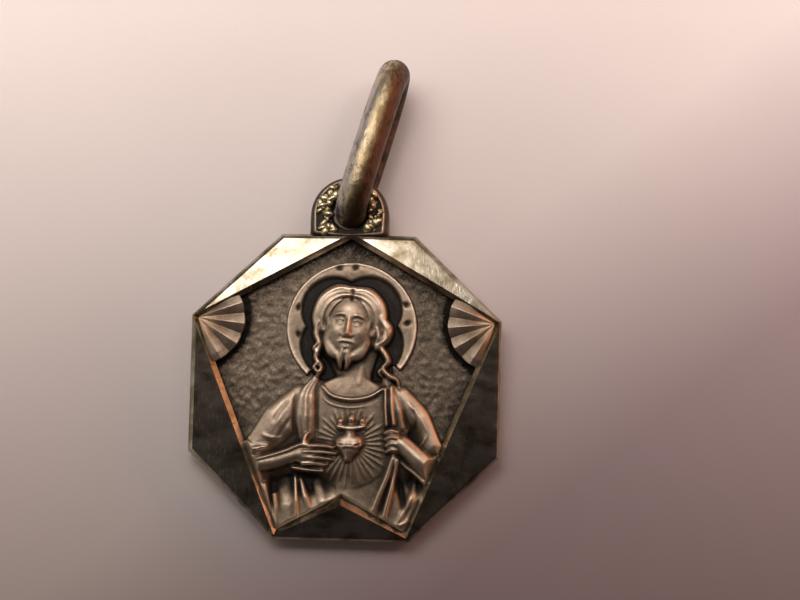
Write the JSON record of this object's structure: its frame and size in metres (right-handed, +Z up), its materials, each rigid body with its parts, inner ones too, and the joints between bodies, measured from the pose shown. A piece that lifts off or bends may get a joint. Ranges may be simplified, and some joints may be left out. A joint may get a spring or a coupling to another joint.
{
  "type": "religious medal pendant",
  "caption": "Small octagonal devotional medal with a half-figure in relief inside a bright faceted frame, on an oval jump ring.",
  "frame": {"origin": "middle of the ground that the part covers, at the height of the surface that it lies on", "axes": "+Z up, away from the surface and out of the medal's face; +Y from the medal's foot to its eyelet and ring; +X to the right of the face"},
  "size_m": [0.016, 0.0248, 0.0052],
  "materials": {
    "aged_silver": "polished facets round an oxidised, matt struck relief",
    "worn_wire": "worn, tarnished wire"
  },
  "bodies": {
    "root": {"medal": "aged_silver", "jump_ring": "worn_wire"}
  },
  "joints": []
}
